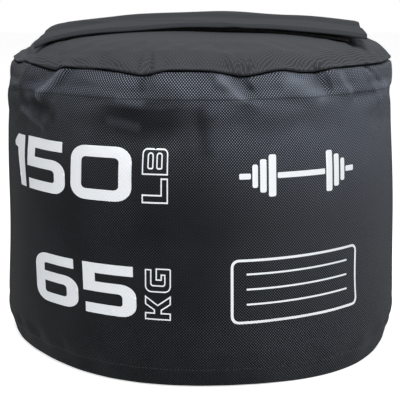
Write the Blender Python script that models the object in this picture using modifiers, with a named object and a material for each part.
"""Round sandbag trainer, in metres, +Z up, front towards -Y, origin at the centre of its base.

A drum-shaped fabric shell is sewn from a wall, a base and a top in two halves.
Between the halves runs a zip, and over it a flap closed by hook and loop.
Inside lies a liner bag full of sand, its filling neck folded flat under a strap.
The crown of the top is part of a sphere, so the zip, its slider and the flap all
follow arcs about one level line through the centre of that sphere, the crown axis.
"""

import math

import bmesh
import bpy
from mathutils import Matrix, Vector

COLLECTION = "sandbag_trainer"
CUTTERS = "cutters"

# Fabric and clearances
GAP = 0.0003  # left between any two pieces that touch
SHELL_THICK = 0.002  # two plies of heavy nylon, sewn as one
BINDING_THICK = 0.0007
SEAM_TAPE_THICK = 0.001
CUT_OVERRUN = 0.004  # how far cutters run past what they cut

# The filled drum
BASE_RADIUS = 0.2045
BELLY_RADIUS = 0.2115
BELLY_HEIGHT = 0.050
SHOULDER_RADIUS = 0.2030
RIM_RADIUS = 0.2010
RIM_HEIGHT = 0.294
TUCK_HEIGHT = 0.0256  # the last of the wall, which leans in to the rim seam
CROWN_RISE = 0.0345  # top of the crown above the rim seam
CROWN_RADIUS = 1.0
TOP_CORNER_RADIUS = 0.026
SEGMENTS = 40
CROWN_RING_PITCH = 0.036
CORNER_RINGS = 3
BASE_RING_SHARES = (0, 0.2, 0.5)  # of the belly's height
TUCK_RING_SHARES = (0, 0.55, 1)

# Seams
ALLOWANCE = 0.024  # fabric turned in at the rim seam
BASE_ALLOWANCE = 0.020  # and at the base seam
BINDING_HEIGHT = 0.010
WALL_FOOT = 0.0006  # the wall's fold clears the floor by this much

# Zip teeth and tape
SLOT_LENGTH = 0.300
SLOT_MARGIN = 0.0022  # from the slider's mouth to the slot's edge
TAPE_LAP = 0.0125  # how far the tapes reach under the top
TAPE_END_LAP = 0.005
ZIP_TAPE_THICK = 0.001
BEAD_WIDTH = 0.0014
BEAD_START = 0.0022  # from the centre line to the bead's inner face
TOOTH_PITCH = 0.006
TOOTH_HEIGHT = 0.0044
HEAD_WIDTH = 0.0032
HEAD_START = 0.0002  # a head lies past the centre line, from here
HEAD_END = 0.0017  # to here
NECK_WIDTH = 0.0020

# Zip stops and end tabs
STOP_LENGTH = 0.003
STOP_HEIGHT = 0.0040
STOP_REACH = 0.0022  # how far a stop's jaws grip over the tape
BOTTOM_STOP_LENGTH = 0.006
END_TAB_LENGTH = 0.020
END_TAB_WIDTH = 0.028
END_TAB_THICK = 0.0012
END_TAB_LAP = 0.004  # how far a tab covers the end of the slot

# Slider
SLIDER_LENGTH = 0.020
SLIDER_WIDTH = 0.0124
SLIDER_MOUTH_WIDTH = 0.0156
PLATE_THICK = 0.0016
TOOTH_CLEARANCE = 0.0005  # above and below the teeth, inside the slider
BEAD_CLEARANCE = 0.0008
SLIT_HEIGHT = 0.002
POST_LENGTH = 0.004
POST_WIDTH = 0.0028
POST_SETBACK = 0.0015
FLARE_START_SHARE = 0.15  # of the half length, where the plates begin to widen
BAIL_LENGTH = 0.009
BAIL_WIDTH = 0.002
BAIL_THICK = 0.0015
BAIL_ROOM = 0.002  # clear height under the bail

# Pull
PULL_LENGTH = 0.026
PULL_THICK = 0.0014
PULL_ROOT_WIDTH = 0.0068
PULL_WIDTH = 0.010
PULL_BAR = 0.0014
PULL_WINDOW_LENGTH = 0.0044
PULL_WINDOW_WIDTH = 0.0038
PULL_HOLE_RADIUS = 0.0024
PULL_SETBACK = 0.0015  # pivot behind the middle of the slider
PULL_WIDEST_SHARE = 0.4  # of its length
HOLE_SIDES = 12

# Flap and its hook and loop
FLAP_LENGTH = 0.318
FLAP_FRONT = 0.104  # from the zip to the front edge
FLAP_REAR = 0.050  # and to the sewn rear edge
FLAP_CHANNEL = 0.044  # width of the raised channel over the zip
FLAP_CLEARANCE = 0.004  # above the slider's bail
FRONT_RAMP = 0.024
REAR_RAMP = 0.018
RAMP_SHARES = (0, 0.33, 0.67, 1)
COVER_THICK = 0.0015
LINING_THICK = 0.0012
HEM = 0.0022
HOOK_WIDTH = 0.050
HOOK_LENGTH = 0.290
HOOK_THICK = 0.0018
LOOP_THICK = 0.002
HOOK_INSET = 0.004  # from the front edge of the flap
STRIP_SHARES = (0, 0.5, 1)
ARC_STEPS = 10  # of everything long that follows the crown

# Liner and its neck
LINER_THICK = 0.0008
LINER_CORNER = 0.018  # drawn in this far at the floor
LINER_STEP = 0.022  # over which it fills out from a seam to the wall
MOUTH_RADIUS = 0.030
SLEEVE_THICK = 0.0024
SLEEVE_WIDTH = 0.110
SLEEVE_DEPTH = 0.080
SLEEVE_FOLD_GAP = 0.0004
SLEEVE_LAYERS = 3
COLLAR_THICK = 0.002
STRAP_THICK = 0.0012
STRAP_WIDTH = 0.025
STRAP_FOOT = 0.018
STRAP_CLEARANCE = 0.002  # under the slider

# Offsets of the seam layers, inwards from the wall's outer face
WALL_IN = SHELL_THICK
FOLD_OUT = WALL_IN + GAP + BINDING_THICK + GAP
FOLD_IN = FOLD_OUT + SHELL_THICK
SKIRT_OUT = FOLD_IN + GAP
SKIRT_IN = SKIRT_OUT + SHELL_THICK
BINDING_OUT = WALL_IN + GAP
BINDING_IN = SKIRT_IN + GAP + BINDING_THICK
LINER_AT_SEAM = BINDING_IN + GAP
LINER_AT_WALL = WALL_IN + GAP + SEAM_TAPE_THICK + GAP
SEAM_CLEAR = GAP + BINDING_THICK + GAP  # past the raw edges, beyond the binding

# Levels on the crown, above the outer face of the top
ZIP_LEVEL = -(SHELL_THICK + GAP + ZIP_TAPE_THICK / 2)  # the middle of the zip's tapes
SLIDER_INSIDE = TOOTH_HEIGHT / 2 + TOOTH_CLEARANCE  # from the zip's level
SLIDER_OUTSIDE = SLIDER_INSIDE + PLATE_THICK
FLAP_ROOM = ZIP_LEVEL + SLIDER_OUTSIDE + BAIL_ROOM + BAIL_THICK + FLAP_CLEARANCE
LOOP_LEVEL = GAP
HOOK_LEVEL = LOOP_LEVEL + LOOP_THICK + GAP
FLAP_SEAT = HOOK_LEVEL + HOOK_THICK + GAP  # the flap's underside where hook meets loop
COVER_LEVEL = LINING_THICK + GAP  # above the flap's underside
FLAP_THICK = COVER_LEVEL + COVER_THICK

# The crown axis, and heights in the drum
CROWN_HEIGHT = RIM_HEIGHT + CROWN_RISE
CROWN_CENTRE = Vector((0, 0, CROWN_HEIGHT - CROWN_RADIUS))
ZIP_RADIUS = CROWN_RADIUS + ZIP_LEVEL
TUCK_START = RIM_HEIGHT - TUCK_HEIGHT
SEAM_FOOT = RIM_HEIGHT - ALLOWANCE - SEAM_CLEAR  # just below the binding of the rim seam
SEAM_HEAD = WALL_FOOT + BASE_ALLOWANCE + SEAM_CLEAR  # just above the binding of the base seam
WIDEST_RADIUS = max(BASE_RADIUS, BELLY_RADIUS, SHOULDER_RADIUS, RIM_RADIUS)
STRAP_TOP = CROWN_HEIGHT + ZIP_LEVEL - SLIDER_OUTSIDE - STRAP_CLEARANCE
SLEEVE_PITCH = SLEEVE_THICK + SLEEVE_FOLD_GAP
SLEEVE_HEIGHT = SLEEVE_LAYERS * SLEEVE_PITCH - SLEEVE_FOLD_GAP
SLEEVE_BOTTOM = STRAP_TOP - STRAP_THICK - GAP - SLEEVE_HEIGHT
ZIP_END_BOTTOM = CROWN_CENTRE.z + (ZIP_RADIUS - SLIDER_OUTSIDE) * math.cos(SLOT_LENGTH / 2 / ZIP_RADIUS)
LINER_TOP = min(SLEEVE_BOTTOM, ZIP_END_BOTTOM) - GAP

# Places along the zip, as arc lengths from its middle towards +X
SLOT_WIDTH = SLIDER_MOUTH_WIDTH + 2 * SLOT_MARGIN
TAPE_INNER = BEAD_START + BEAD_WIDTH + GAP
TAPE_LENGTH = SLOT_LENGTH + 2 * TAPE_END_LAP
TAB_EDGE = SLOT_LENGTH / 2 - END_TAB_LAP
BOTTOM_STOP_AT = GAP + BOTTOM_STOP_LENGTH / 2 - TAB_EDGE
CHAIN_START = BOTTOM_STOP_AT + BOTTOM_STOP_LENGTH / 2 + GAP
TOP_STOP_AT = TAB_EDGE - STOP_LENGTH
CHAIN_END = TOP_STOP_AT - STOP_LENGTH / 2 - GAP
SLIDER_AT = CHAIN_END - SLIDER_LENGTH / 2
LAST_TOOTH_AT = SLIDER_AT + SLIDER_LENGTH / 2 - POST_SETBACK - POST_LENGTH - HEAD_WIDTH

MATERIALS = {
    "shell_nylon": ((0.016, 0.017, 0.020), 0.62, 0.0),
    "flap_nylon": ((0.020, 0.021, 0.024), 0.66, 0.0),
    "binding_tape": ((0.012, 0.012, 0.013), 0.75, 0.0),
    "hook_and_loop": ((0.010, 0.010, 0.011), 0.90, 0.0),
    "zip_tape": ((0.012, 0.012, 0.014), 0.70, 0.0),
    "zip_teeth": ((0.018, 0.018, 0.018), 0.38, 0.0),
    "zip_metal": ((0.090, 0.090, 0.095), 0.35, 1.0),
    "liner_fabric": ((0.110, 0.115, 0.120), 0.55, 0.0),
    "sand": ((0.560, 0.440, 0.280), 0.95, 0.0),
}


# Scene, materials and small helpers


def clear_scene():
    for obj in list(bpy.data.objects):
        bpy.data.objects.remove(obj)


def new_collection(name):
    collection = bpy.data.collections.new(name)
    bpy.context.scene.collection.children.link(collection)


def new_material(name, slot):
    """A Principled material for one object, in the look of its slot."""
    colour, roughness, metallic = MATERIALS[slot]
    made = bpy.data.materials.new(f"{name}_{slot}")
    made.use_nodes = True
    shader = made.node_tree.nodes["Principled BSDF"]
    shader.inputs["Base Color"].default_value = (*colour, 1)
    shader.inputs["Roughness"].default_value = roughness
    shader.inputs["Metallic"].default_value = metallic
    return made


def add_object(name, mesh, slot=None):
    """Adds a mesh as a piece of the bag, or as a hidden cutter where it has no material slot."""
    obj = bpy.data.objects.new(name, mesh)
    bpy.data.collections[COLLECTION if slot else CUTTERS].objects.link(obj)
    if slot:
        mesh.materials.append(new_material(name, slot))
    else:
        obj.hide_render = True
        obj.display_type = "WIRE"
    return obj


def mesh_from(name, bm):
    bmesh.ops.recalc_face_normals(bm, faces=bm.faces)
    mesh = bpy.data.meshes.new(name)
    bm.to_mesh(mesh)
    bm.free()
    return mesh


def boolean(obj, other, operation):
    modifier = obj.modifiers.new(f"{operation.lower()}_{other.name}", "BOOLEAN")
    modifier.operation = operation
    modifier.object = other


def box(name, low, high):
    """A cutter between two corners."""
    low, high = Vector(low), Vector(high)
    bm = bmesh.new()
    bmesh.ops.create_cube(bm, size=1)
    bmesh.ops.scale(bm, vec=high - low, verts=bm.verts)
    bmesh.ops.translate(bm, vec=(low + high) / 2, verts=bm.verts)
    return add_object(name, mesh_from(name, bm))


def pivot_at(name, matrix, parent=None):
    """An empty that pieces turn with, at a matrix in the world."""
    pivot = bpy.data.objects.new(name, None)
    pivot.empty_display_size = FLAP_CHANNEL
    bpy.data.collections[COLLECTION].objects.link(pivot)
    pivot.matrix_world = matrix
    if parent:
        pivot.parent = parent
        pivot.matrix_parent_inverse = parent.matrix_world.inverted()
    bpy.context.view_layer.update()
    return pivot


def hang(obj, pivot):
    """Moves the object's origin to the pivot, with its shape left in place, and parents it there."""
    obj.data.transform(pivot.matrix_world.inverted() @ obj.matrix_world)
    obj.matrix_world = Matrix()
    obj.parent = pivot


# Turned, swept and flat shapes


def turned(name, outline, slot, closed=True):
    """An outline of (radius, height) points turned about Z. It runs down its outer side."""
    bm = bmesh.new()
    verts = [bm.verts.new((radius, 0, height)) for radius, height in outline]
    for start, end in zip(verts, verts[1:]):
        bm.edges.new((start, end))
    if closed:
        bm.edges.new((verts[-1], verts[0]))
    mesh = bpy.data.meshes.new(name)
    bm.to_mesh(mesh)
    bm.free()
    obj = add_object(name, mesh, slot)
    screw = obj.modifiers.new("turn", "SCREW")
    screw.axis = "Z"
    screw.steps = screw.render_steps = SEGMENTS
    screw.use_merge_vertices = True
    screw.merge_threshold = GAP / SEGMENTS
    return obj


def crown_sweep(name, section, start, end, steps, slot):
    """A section of (y, level on the crown) points swept about the crown axis.

    start and end are arc lengths along the zip, from its middle.
    """
    bm = bmesh.new()
    tilt = Matrix.Rotation(start / ZIP_RADIUS, 3, "Y")
    verts = [bm.verts.new(CROWN_CENTRE + tilt @ Vector((0, y, CROWN_RADIUS + level))) for y, level in section]
    face = bm.faces.new(verts)
    bmesh.ops.spin(
        bm,
        geom=[face, *face.edges, *face.verts],
        cent=CROWN_CENTRE,
        axis=(0, 1, 0),
        angle=(end - start) / ZIP_RADIUS,
        steps=steps,
    )
    return add_object(name, mesh_from(name, bm), slot)


def plate_mesh(name, outline, thickness, holes=()):
    """A flat outline in XY, with any holes, thickened evenly about the plane."""
    curve = bpy.data.curves.new(name, "CURVE")
    curve.dimensions = "2D"
    curve.fill_mode = "BOTH"
    curve.extrude = thickness / 2
    for loop in (outline, *holes):
        spline = curve.splines.new("POLY")
        spline.points.add(len(loop) - 1)
        for point, (x, y) in zip(spline.points, loop):
            point.co = (x, y, 0, 1)
        spline.use_cyclic_u = True
    source = bpy.data.objects.new(name, curve)
    bpy.context.scene.collection.objects.link(source)
    bpy.context.view_layer.update()
    graph = bpy.context.evaluated_depsgraph_get()
    mesh = bpy.data.meshes.new_from_object(source.evaluated_get(graph))
    bpy.data.objects.remove(source)
    bm = bmesh.new()
    bm.from_mesh(mesh)
    bmesh.ops.remove_doubles(bm, verts=bm.verts, dist=GAP / SEGMENTS)
    bmesh.ops.recalc_face_normals(bm, faces=bm.faces)
    bm.to_mesh(mesh)
    bm.free()
    return mesh


def upright_plate(name, outline, length):
    """A plate whose outline lies in (y, z), made this long along X."""
    mesh = plate_mesh(name, outline, length)
    mesh.transform(Matrix(((0, 0, 1, 0), (1, 0, 0, 0), (0, 1, 0, 0), (0, 0, 0, 1))))
    return mesh


def mirrored(points):
    """Points at +y, then the same points at -y in reverse, as one outline."""
    return [*points, *((x, -y) for x, y in reversed(points))]


def zip_frame(place):
    """The matrix that carries (along the zip, y, up) to the world at an arc length along the zip."""
    tilt = Matrix.Rotation(place / ZIP_RADIUS, 4, "Y")
    return Matrix.Translation(CROWN_CENTRE) @ tilt @ Matrix.Translation((0, 0, ZIP_RADIUS))


# The form of the filled drum


def ring_heights():
    """Heights at which the wall's faces have a ring. Between them they are straight."""
    rings = [BELLY_HEIGHT * share for share in BASE_RING_SHARES]
    rings += [BELLY_HEIGHT]
    rings += [TUCK_START + TUCK_HEIGHT * share for share in TUCK_RING_SHARES]
    return rings


def full_radius(height):
    """Outer radius of the filled wall: drawn in at the base, widest low down, tucked in at the rim."""
    if height < BELLY_HEIGHT:
        share = math.sin(math.pi / 2 * height / BELLY_HEIGHT)
        return BASE_RADIUS + (BELLY_RADIUS - BASE_RADIUS) * share
    if height < TUCK_START:
        share = (height - BELLY_HEIGHT) / (TUCK_START - BELLY_HEIGHT)
        return BELLY_RADIUS + (SHOULDER_RADIUS - BELLY_RADIUS) * share
    share = (height - TUCK_START) / TUCK_HEIGHT
    return SHOULDER_RADIUS + (RIM_RADIUS - SHOULDER_RADIUS) * share**2


def wall_radius(height):
    """Outer radius of the wall on the straight line between its rings."""
    rings = ring_heights()
    for low, high in zip(rings, rings[1:]):
        if height <= high:
            share = (height - low) / (high - low)
            return full_radius(low) * (1 - share) + full_radius(high) * share
    return full_radius(rings[-1])


def wall_line(low, high, inset):
    """Points from low to high on the wall's outer face, or on a face set in from it."""
    rings = [ring for ring in ring_heights() if low + GAP < ring < high - GAP]
    return [(wall_radius(height) - inset, height) for height in (low, *rings, high)]


def corner_centre():
    """Centre of the arc that rounds the top's edge, as a vector of (radius, height).

    The arc passes through the rim seam and touches the crown's sphere from inside.
    """
    rim = Vector((RIM_RADIUS, RIM_HEIGHT))
    sphere = Vector((0, CROWN_CENTRE.z))
    along = rim - sphere
    reach = CROWN_RADIUS - TOP_CORNER_RADIUS
    foot = (reach**2 - TOP_CORNER_RADIUS**2 + along.length**2) / (2 * along.length)
    side = math.sqrt(reach**2 - foot**2)
    return sphere + along.normalized() * foot + Vector((-along.y, along.x)).normalized() * side


def top_line(inset, last_radius):
    """Points on the top, or set in from it, from the axis out to a radius on its rounded edge."""
    centre = corner_centre()
    join = math.atan2(centre.x, centre.y - CROWN_CENTRE.z)
    sphere = CROWN_RADIUS - inset
    rings = math.ceil(join * CROWN_RADIUS / CROWN_RING_PITCH)
    points = []
    for ring in range(rings + 1):
        angle = join * ring / rings
        points.append((sphere * math.sin(angle), CROWN_CENTRE.z + sphere * math.cos(angle)))
    corner = TOP_CORNER_RADIUS - inset
    end = math.asin((last_radius - centre.x) / corner)
    for ring in range(1, CORNER_RINGS + 1):
        angle = join + (end - join) * ring / CORNER_RINGS
        points.append((centre.x + corner * math.sin(angle), centre.y + corner * math.cos(angle)))
    return points


# Shell of the bag


def side_wall():
    """The wall, with both its edges folded in and back along its inner face."""
    low, high = WALL_FOOT, RIM_HEIGHT
    outline = [
        *reversed(wall_line(low, high, 0)),
        *wall_line(low, low + BASE_ALLOWANCE, FOLD_IN),
        *reversed(wall_line(low + SHELL_THICK, low + BASE_ALLOWANCE, FOLD_OUT)),
        *wall_line(low + SHELL_THICK, high - SHELL_THICK, WALL_IN),
        *reversed(wall_line(high - ALLOWANCE, high - SHELL_THICK, FOLD_OUT)),
        *wall_line(high - ALLOWANCE, high, FOLD_IN),
    ]
    turned("side_wall", outline, "shell_nylon")


def base_panel():
    """The round base, with its edge turned up inside the wall's fold."""
    edge = WALL_FOOT + BASE_ALLOWANCE
    outline = [
        (0, SHELL_THICK),
        *wall_line(SHELL_THICK, edge, SKIRT_IN),
        *reversed(wall_line(0, edge, SKIRT_OUT)),
        (0, 0),
    ]
    turned("base_panel", outline, "shell_nylon", closed=False)


def top_outline():
    """The domed top, with its edge lapped over the wall's fold and turned down inside it."""
    lap = RIM_HEIGHT + GAP
    low = RIM_HEIGHT - ALLOWANCE
    return [
        *top_line(0, RIM_RADIUS)[:-1],
        (RIM_RADIUS, lap),
        (RIM_RADIUS - SKIRT_OUT, lap),
        *reversed(wall_line(low, RIM_HEIGHT, SKIRT_OUT)),
        *wall_line(low, RIM_HEIGHT, SKIRT_IN),
        *reversed(top_line(SHELL_THICK, RIM_RADIUS - SKIRT_IN)),
    ]


def top_panel(name, side):
    """One half of the top, cut along the middle and back from the zip. Side is -1 at the front."""
    panel = turned(name, top_outline(), "shell_nylon", closed=False)
    reach = WIDEST_RADIUS + CUT_OVERRUN
    low, high = RIM_HEIGHT - ALLOWANCE - CUT_OVERRUN, CROWN_HEIGHT + CUT_OVERRUN
    near, far = sorted((side * GAP / 2, -side * reach))
    boolean(panel, box(f"{name}_half_cutter", (-reach, near, low), (reach, far, high)), "DIFFERENCE")
    half_length, half_width = SLOT_LENGTH / 2, SLOT_WIDTH / 2
    corners = (-half_length, -half_width, low), (half_length, half_width, high)
    boolean(panel, box(f"{name}_slot_cutter", *corners), "DIFFERENCE")


def seam_binding(name, raw_edge, direction):
    """Tape folded over the raw edges of a seam. Direction is 1 where its legs run up from them."""
    bend = raw_edge - direction * GAP
    back = bend - direction * BINDING_THICK
    tip = raw_edge + direction * BINDING_HEIGHT
    around = sorted((back, tip))
    within = sorted((bend, tip))
    outer, inner = wall_line(*around, BINDING_OUT), wall_line(*around, BINDING_IN)
    outer_leg = wall_line(*within, BINDING_OUT + BINDING_THICK)
    inner_leg = wall_line(*within, BINDING_IN - BINDING_THICK)
    if direction > 0:
        outline = [*outer[::-1], *inner, *inner_leg[::-1], *outer_leg]
    else:
        outline = [*outer[::-1], *outer_leg, *inner_leg[::-1], *inner]
    turned(name, outline, "binding_tape")


def side_seam_tape():
    """Tape inside the wall, over its one upright seam. It is one facet of the turned wall wide."""
    inset = WALL_IN + GAP
    outer = wall_line(SEAM_HEAD, SEAM_FOOT, inset)
    inner = wall_line(SEAM_HEAD, SEAM_FOOT, inset + SEAM_TAPE_THICK)
    outline = [*outer, *reversed(inner)]
    start = Matrix.Rotation(math.pi / 2, 3, "Z")
    bm = bmesh.new()
    face = bm.faces.new([bm.verts.new(start @ Vector((radius, 0, height))) for radius, height in outline])
    geometry = [face, *face.edges, *face.verts]
    facet = 2 * math.pi / SEGMENTS
    bmesh.ops.spin(bm, geom=geometry, cent=(0, 0, 0), axis=(0, 0, 1), angle=facet, steps=1)
    add_object("side_seam_tape", mesh_from("side_seam_tape", bm), "binding_tape")


# Strips that follow the crown


def crown_drop(y):
    """How far the crown falls from its ridge at a distance y to the side."""
    return CROWN_RADIUS - math.sqrt(CROWN_RADIUS**2 - y**2)


def strip(name, start_y, width, level, thick, half_length, slot):
    """A flat strip centred on the zip's middle, lying at a level on the crown."""
    places = [start_y + width * share for share in STRIP_SHARES]
    low = [(y, level - crown_drop(y)) for y in places]
    section = [*low, *((y, height + thick) for y, height in reversed(low))]
    return crown_sweep(name, section, -half_length, half_length, ARC_STEPS, slot)


def zip_tape(name, side):
    outer = SLOT_WIDTH / 2 + TAPE_LAP
    low = ZIP_LEVEL - ZIP_TAPE_THICK / 2
    width = side * (outer - TAPE_INNER)
    strip(name, side * TAPE_INNER, width, low, ZIP_TAPE_THICK, TAPE_LENGTH / 2, "zip_tape")


def zip_end_tab(name, side):
    """A patch sewn over one end of the slot."""
    half = END_TAB_WIDTH / 2
    low, high = GAP, GAP + END_TAB_THICK
    section = [(-half, low), (half, low), (half, high), (-half, high)]
    start, end = sorted((side * TAB_EDGE, side * (TAB_EDGE + END_TAB_LENGTH)))
    crown_sweep(name, section, start, end, 2, "binding_tape")


# Zip teeth and stops


def tooth_points(place):
    """One tooth of a comb, reaching from its bead at +y over the centre line to -y."""
    half_neck, half_head = NECK_WIDTH / 2, HEAD_WIDTH / 2
    return [
        (place - half_neck, BEAD_START),
        (place - half_neck, -HEAD_START),
        (place - half_head, -HEAD_START),
        (place - half_head, -HEAD_END),
        (place + half_head, -HEAD_END),
        (place + half_head, -HEAD_START),
        (place + half_neck, -HEAD_START),
        (place + half_neck, BEAD_START),
    ]


def zip_teeth(name, side, first_tooth):
    """A comb of moulded teeth on their bead. It is one cell per tooth, so that it follows the crown."""
    count = int((LAST_TOOTH_AT - first_tooth) / TOOTH_PITCH) + 1
    teeth = [first_tooth + index * TOOTH_PITCH for index in range(count)]
    cell_ends = [*(place + TOOTH_PITCH / 2 for place in teeth[:-1]), CHAIN_END]
    bm = bmesh.new()

    def across(points):
        return [bm.verts.new(zip_frame(place) @ Vector((0, side * y, 0))) for place, y in points]

    def bead_at(place):
        return across([(place, BEAD_START + BEAD_WIDTH), (place, BEAD_START)])

    edge = bead_at(CHAIN_START)
    for place, cell_end in zip(teeth, cell_ends):
        next_edge = bead_at(cell_end)
        bm.faces.new([*edge, *across(tooth_points(place)), *reversed(next_edge)])
        edge = next_edge
    comb = add_object(name, mesh_from(name, bm), "zip_teeth")
    moulding = comb.modifiers.new("moulding", "SOLIDIFY")
    moulding.thickness = TOOTH_HEIGHT
    moulding.offset = 0


def stop_jaw(height):
    """Section of a jaw that grips a tape at +y, as (y, height) points from its lower tip round."""
    web = BEAD_START + BEAD_WIDTH
    tip = web + STOP_REACH
    half_slot = ZIP_TAPE_THICK / 2 + GAP
    return [
        (tip, -height / 2),
        (tip, -half_slot),
        (web, -half_slot),
        (web, half_slot),
        (tip, half_slot),
        (tip, height / 2),
    ]


def add_stop(name, section, length, place):
    stop = add_object(name, upright_plate(name, section, length), "zip_metal")
    stop.matrix_world = zip_frame(place)


def zip_stops():
    """Two stops ahead of the slider, one on each tape, and one across both at the other end."""
    half = STOP_HEIGHT / 2
    section = [(BEAD_START, -half), *stop_jaw(STOP_HEIGHT), (BEAD_START, half)]
    for name, side in (("zip_top_stop_front", -1), ("zip_top_stop_rear", 1)):
        add_stop(name, [(side * y, height) for y, height in section], STOP_LENGTH, TOP_STOP_AT)
    jaw = stop_jaw(TOOTH_HEIGHT)
    across = [*jaw, *((-y, height) for y, height in reversed(jaw))]
    add_stop("zip_bottom_stop", across, BOTTOM_STOP_LENGTH, BOTTOM_STOP_AT)


# Slider and pull


def slider_plan():
    """The slider's plates seen from above: narrow at the rear, wide at the mouth."""
    rear, front = -SLIDER_LENGTH / 2, SLIDER_LENGTH / 2
    half, mouth = SLIDER_WIDTH / 2, SLIDER_MOUTH_WIDTH / 2
    corner = PLATE_THICK
    return mirrored(
        [
            (rear, half - corner),
            (rear + corner, half),
            (front * FLARE_START_SHARE, half),
            (front - corner, mouth),
            (front, mouth - corner),
        ]
    )


def channel_plan():
    """The room inside the slider, which runs on past both of its ends."""
    half = BEAD_START + BEAD_WIDTH + BEAD_CLEARANCE
    flange = SLIDER_WIDTH / 2 - half
    mouth = SLIDER_MOUTH_WIDTH / 2 - flange
    front = SLIDER_LENGTH / 2
    reach = front + CUT_OVERRUN
    return mirrored([(-reach, half), (front * FLARE_START_SHARE, half), (front, mouth), (reach, mouth)])


def bail_outline():
    """The bail seen from the side, its feet sunk into the slider's top plate."""
    half, sunk = BAIL_LENGTH / 2, -PLATE_THICK / 2
    top = BAIL_ROOM + BAIL_THICK
    bevel = BAIL_THICK / 2
    return [
        (-half, sunk),
        (-half, top - bevel),
        (-half + bevel, top),
        (half - bevel, top),
        (half, top - bevel),
        (half, sunk),
        (half - BAIL_THICK, sunk),
        (half - BAIL_THICK, BAIL_ROOM),
        (-half + BAIL_THICK, BAIL_ROOM),
        (-half + BAIL_THICK, sunk),
    ]


def zip_slider(pivot):
    """Two plates on a wedge-shaped post, with flanges at the sides and a bail on top."""
    frame = zip_frame(SLIDER_AT)
    front = SLIDER_LENGTH / 2
    reach = front + CUT_OVERRUN
    slider = add_object("zip_slider", plate_mesh("zip_slider", slider_plan(), 2 * SLIDER_OUTSIDE), "zip_metal")
    slider.matrix_world = frame
    channel_mesh = plate_mesh("slider_channel_cutter", channel_plan(), 2 * SLIDER_INSIDE)
    cuts = [add_object("slider_channel_cutter", channel_mesh)]
    side_reach = SLIDER_MOUTH_WIDTH / 2 + CUT_OVERRUN
    half_slit = SLIT_HEIGHT / 2
    cuts.append(box("slider_slit_cutter", (-reach, -side_reach, -half_slit), (reach, side_reach, half_slit)))
    post_front, half_post = front - POST_SETBACK, POST_WIDTH / 2
    sunk = SLIDER_INSIDE + PLATE_THICK / 2
    post = box("slider_post", (post_front - POST_LENGTH, -half_post, -sunk), (post_front, half_post, sunk))
    bail_mesh = plate_mesh("slider_bail", bail_outline(), BAIL_WIDTH)
    bail_mesh.transform(Matrix.Translation((0, 0, SLIDER_OUTSIDE)) @ Matrix.Rotation(math.pi / 2, 4, "X"))
    additions = [post, add_object("slider_bail", bail_mesh)]
    for operation, others in (("DIFFERENCE", cuts), ("UNION", additions)):
        for other in others:
            other.matrix_world = frame
            boolean(slider, other, operation)
    hang(slider, pivot)


def pull_pivot_matrix():
    """The pull turns about its bar, which passes under the slider's bail."""
    bar_level = SLIDER_OUTSIDE + GAP + PULL_THICK / 2
    return zip_frame(SLIDER_AT) @ Matrix.Translation((-PULL_SETBACK, 0, bar_level))


def zip_pull(pivot):
    """A flat tab with a window for the bail and a hole for a cord. It lies back along the zip."""
    half_bar = PULL_BAR / 2
    root, tip = half_bar, half_bar - PULL_LENGTH
    half_root, half = PULL_ROOT_WIDTH / 2, PULL_WIDTH / 2
    outline = mirrored(
        [
            (root, half_root),
            (-PULL_WINDOW_LENGTH, half_root),
            (tip * PULL_WIDEST_SHARE, half),
            (tip + half / 2, half),
            (tip, half / 2),
        ]
    )
    half_window = PULL_WINDOW_WIDTH / 2
    window = mirrored([(-half_bar, half_window), (-half_bar - PULL_WINDOW_LENGTH, half_window)])
    turns = [2 * math.pi * step / HOLE_SIDES for step in range(HOLE_SIDES)]
    centre = tip + half
    hole = [(centre + PULL_HOLE_RADIUS * math.cos(turn), PULL_HOLE_RADIUS * math.sin(turn)) for turn in turns]
    pull = add_object("zip_pull", plate_mesh("zip_pull", outline, PULL_THICK, (window, hole)), "zip_metal")
    pull.matrix_world = pivot.matrix_world
    hang(pull, pivot)


# Flap


def flap_rise(y):
    """Level of the flap's underside above the top, at a distance y behind the zip."""
    seat, ramp = (GAP, REAR_RAMP) if y > 0 else (FLAP_SEAT, FRONT_RAMP)
    share = min(max((abs(y) - FLAP_CHANNEL / 2) / ramp, 0), 1)
    return FLAP_ROOM + (seat - FLAP_ROOM) * (1 - math.cos(math.pi * share)) / 2


def flap_line(front, raised):
    """(y, level) points along the flap from its front to its rear, raised above its underside."""
    half = FLAP_CHANNEL / 2
    front_ramp = [-half - FRONT_RAMP * share for share in reversed(RAMP_SHARES)]
    rear_ramp = [half + REAR_RAMP * share for share in RAMP_SHARES]
    places = [front, (front + front_ramp[0]) / 2, *front_ramp, 0, *rear_ramp, FLAP_REAR]
    return [(y, flap_rise(y) - crown_drop(y) + raised) for y in places]


def flap_parts(pivot):
    """The flap's cover, hemmed round the front of its lining, and the hook strip beneath."""
    hem_edge = HEM - FLAP_FRONT
    lining_front = hem_edge + GAP
    lining = [*flap_line(lining_front, 0), *reversed(flap_line(lining_front, LINING_THICK))]
    cover = [
        flap_line(-FLAP_FRONT, 0)[0],
        flap_line(hem_edge, 0)[0],
        *flap_line(hem_edge, COVER_LEVEL),
        *reversed(flap_line(-FLAP_FRONT, FLAP_THICK)),
    ]
    hook_front = HOOK_INSET - FLAP_FRONT
    half = FLAP_LENGTH / 2
    pieces = [
        crown_sweep("flap_lining", lining, -half, half, ARC_STEPS, "flap_nylon"),
        crown_sweep("flap_cover", cover, -half, half, ARC_STEPS, "flap_nylon"),
        strip("hook_strip", hook_front, HOOK_WIDTH, HOOK_LEVEL, HOOK_THICK, HOOK_LENGTH / 2, "hook_and_loop"),
    ]
    for piece in pieces:
        hang(piece, pivot)


def loop_strip():
    front = HOOK_INSET - FLAP_FRONT
    strip("loop_strip", front, HOOK_WIDTH, LOOP_LEVEL, LOOP_THICK, HOOK_LENGTH / 2, "hook_and_loop")


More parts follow.
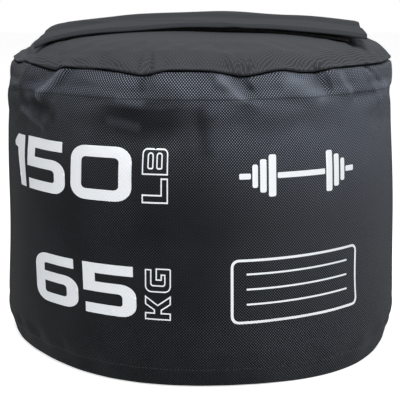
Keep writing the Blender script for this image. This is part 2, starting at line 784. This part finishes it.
def flap_pivot_matrix():
    """The flap turns about its sewn rear edge, level with the top of its cover at mid length."""
    level = GAP + FLAP_THICK - crown_drop(FLAP_REAR)
    return Matrix.Translation((0, FLAP_REAR, CROWN_HEIGHT + level))


# Liner, neck and sand


def flattened(points, height):
    """A falling line with what lies above a height pressed flat to it."""
    for (near, above), (far, below) in zip(points, points[1:]):
        if below < height:
            share = (above - height) / (above - below)
            edge = near + (far - near) * share
            rest = [point for point in points if point[1] <= below]
            return [(0, height), (edge, height), *rest]
    return points


def liner_corner(inset):
    """Points round the liner's lower edge. They follow the wall, drawn in more towards the floor."""
    floor = SHELL_THICK + GAP + inset
    points = []
    for radius, height in reversed(wall_line(floor, SEAM_HEAD, LINER_AT_SEAM + inset)):
        depth = (SEAM_HEAD - height) / (SEAM_HEAD - floor)
        drawn_in = (LINER_CORNER - inset) * (1 - math.sqrt(1 - depth**2))
        points.append((radius - drawn_in, height))
    return points


def liner_line(inset):
    """The liner's outer face, or a face set in from it, from the axis on top to the axis below."""
    at_seam, at_wall = LINER_AT_SEAM + inset, LINER_AT_WALL + inset
    top = top_line(SHELL_THICK + GAP + inset, RIM_RADIUS - at_seam)
    corner = liner_corner(inset)
    return [
        *flattened(top, LINER_TOP - inset),
        *reversed(wall_line(SEAM_FOOT, RIM_HEIGHT, at_seam)),
        *reversed(wall_line(SEAM_HEAD + LINER_STEP, SEAM_FOOT - LINER_STEP, at_wall)),
        *corner,
        (0, corner[-1][1]),
    ]


def liner_bag():
    """The liner, open at its mouth under the folded neck."""
    outer, inner = liner_line(0), liner_line(LINER_THICK)
    outer[0] = (MOUTH_RADIUS, outer[0][1])
    inner[0] = (MOUTH_RADIUS, inner[0][1])
    turned("liner_bag", [*reversed(inner), *outer], "liner_fabric", closed=False)


def sand_fill():
    turned("sand_fill", liner_line(LINER_THICK + GAP), "sand", closed=False)


def folded_outline(half, layers):
    """Outline of a flat sleeve folded to and fro, as (across, height) points from zero up."""
    faces = [(-half, 0)], [(-half, SLEEVE_THICK)]
    for layer in range(layers):
        side = -1 if layer % 2 else 1
        for index, face in enumerate(faces):
            underside = (layer + index) % 2 == 0
            height = layer * SLEEVE_PITCH + (0 if underside else SLEEVE_THICK)
            if layer:
                face.append((face[-1][0], height))
            reach = half if underside or layer == layers - 1 else half - SLEEVE_THICK
            face.append((side * reach, height))
    return [*faces[0], *reversed(faces[1])]


def liner_neck():
    """The filling neck: a collar in the liner's mouth, and its sleeve folded flat above."""
    outer = MOUTH_RADIUS - GAP
    inner = outer - COLLAR_THICK
    low, high = LINER_TOP - LINER_THICK, SLEEVE_BOTTOM + SLEEVE_THICK / 2
    neck = turned("liner_neck", [(outer, high), (outer, low), (inner, low), (inner, high)], "liner_fabric")
    outline = folded_outline(SLEEVE_DEPTH / 2, SLEEVE_LAYERS)
    sleeve = add_object("liner_neck_sleeve", upright_plate("liner_neck_sleeve", outline, SLEEVE_WIDTH))
    sleeve.matrix_world = Matrix.Translation((0, 0, SLEEVE_BOTTOM))
    boolean(neck, sleeve, "UNION")


def neck_strap():
    """A strap over the folded neck, with both its feet sewn to the liner."""
    low = LINER_TOP + GAP
    inner, outer = SLEEVE_DEPTH / 2 + GAP, SLEEVE_DEPTH / 2 + GAP + STRAP_THICK
    under, foot_top = STRAP_TOP - STRAP_THICK, low + STRAP_THICK
    toe = outer + STRAP_FOOT
    half = [(inner, under), (inner, low), (toe, low), (toe, foot_top), (outer, foot_top), (outer, STRAP_TOP)]
    outline = [*half, *((-y, height) for y, height in reversed(half))]
    add_object("neck_strap", upright_plate("neck_strap", outline, STRAP_WIDTH), "hook_and_loop")


def main():
    clear_scene()
    new_collection(COLLECTION)
    new_collection(CUTTERS)
    side_wall()
    base_panel()
    top_panel("top_panel_front", -1)
    top_panel("top_panel_rear", 1)
    seam_binding("top_seam_binding", RIM_HEIGHT - ALLOWANCE, 1)
    seam_binding("base_seam_binding", WALL_FOOT + BASE_ALLOWANCE, -1)
    side_seam_tape()
    zip_tape("zip_tape_front", -1)
    zip_tape("zip_tape_rear", 1)
    zip_teeth("zip_teeth_front", -1, CHAIN_START + HEAD_WIDTH)
    zip_teeth("zip_teeth_rear", 1, CHAIN_START + HEAD_WIDTH + TOOTH_PITCH / 2)
    zip_stops()
    zip_end_tab("zip_end_tab_left", -1)
    zip_end_tab("zip_end_tab_right", 1)
    loop_strip()
    crown_axis = pivot_at("crown_axis", Matrix.Translation(CROWN_CENTRE))
    zip_slider(crown_axis)
    zip_pull(pivot_at("pull_axis", pull_pivot_matrix(), crown_axis))
    flap_parts(pivot_at("flap_axis", flap_pivot_matrix()))
    liner_bag()
    liner_neck()
    neck_strap()
    sand_fill()


main()
